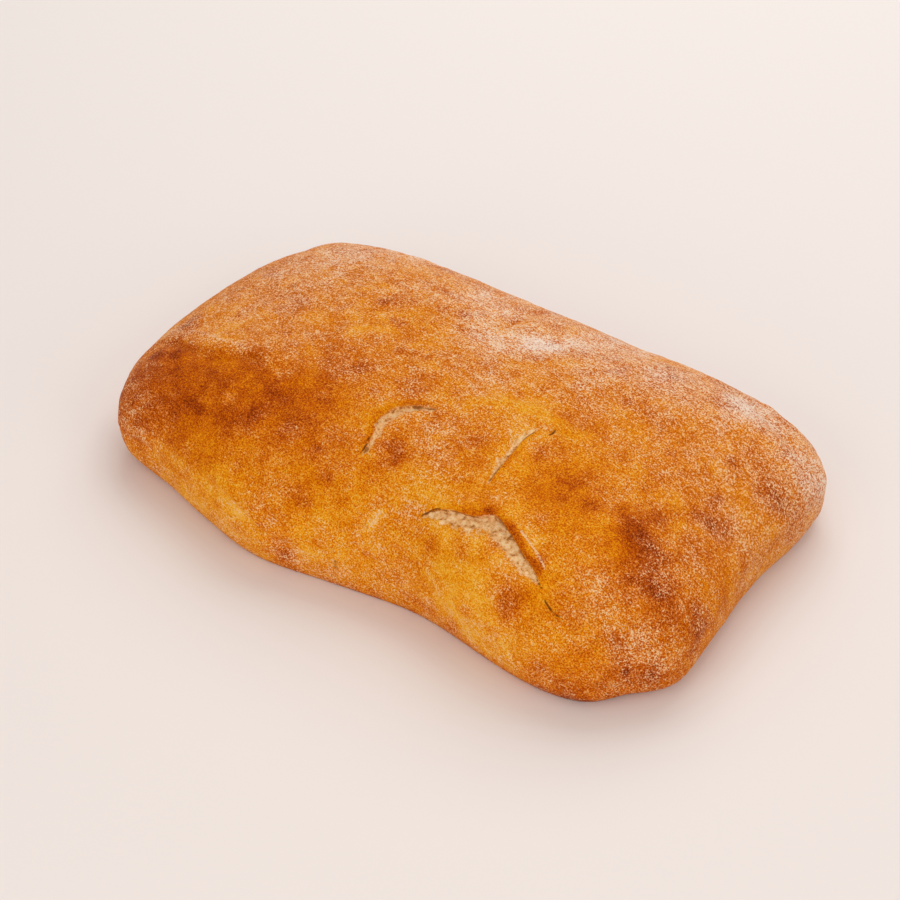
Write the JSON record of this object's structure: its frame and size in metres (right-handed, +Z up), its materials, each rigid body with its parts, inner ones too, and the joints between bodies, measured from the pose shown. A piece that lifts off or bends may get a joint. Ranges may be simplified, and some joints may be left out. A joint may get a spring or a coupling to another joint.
{
  "type": "ciabatta loaf",
  "caption": "Long, low, flour-dusted ciabatta loaf in one piece, with a lapped crust and burst tears along its front, lying on a flat base.",
  "frame": {"origin": "middle of the flat base, on the surface that the loaf lies on", "axes": "+X along the loaf towards its right end as the picture shows it, +Y towards its back, away from the tears, +Z up"},
  "size_m": [0.2708, 0.175, 0.0605],
  "materials": {
    "crust": null
  },
  "bodies": {
    "root": {"loaf": "crust"}
  },
  "joints": []
}
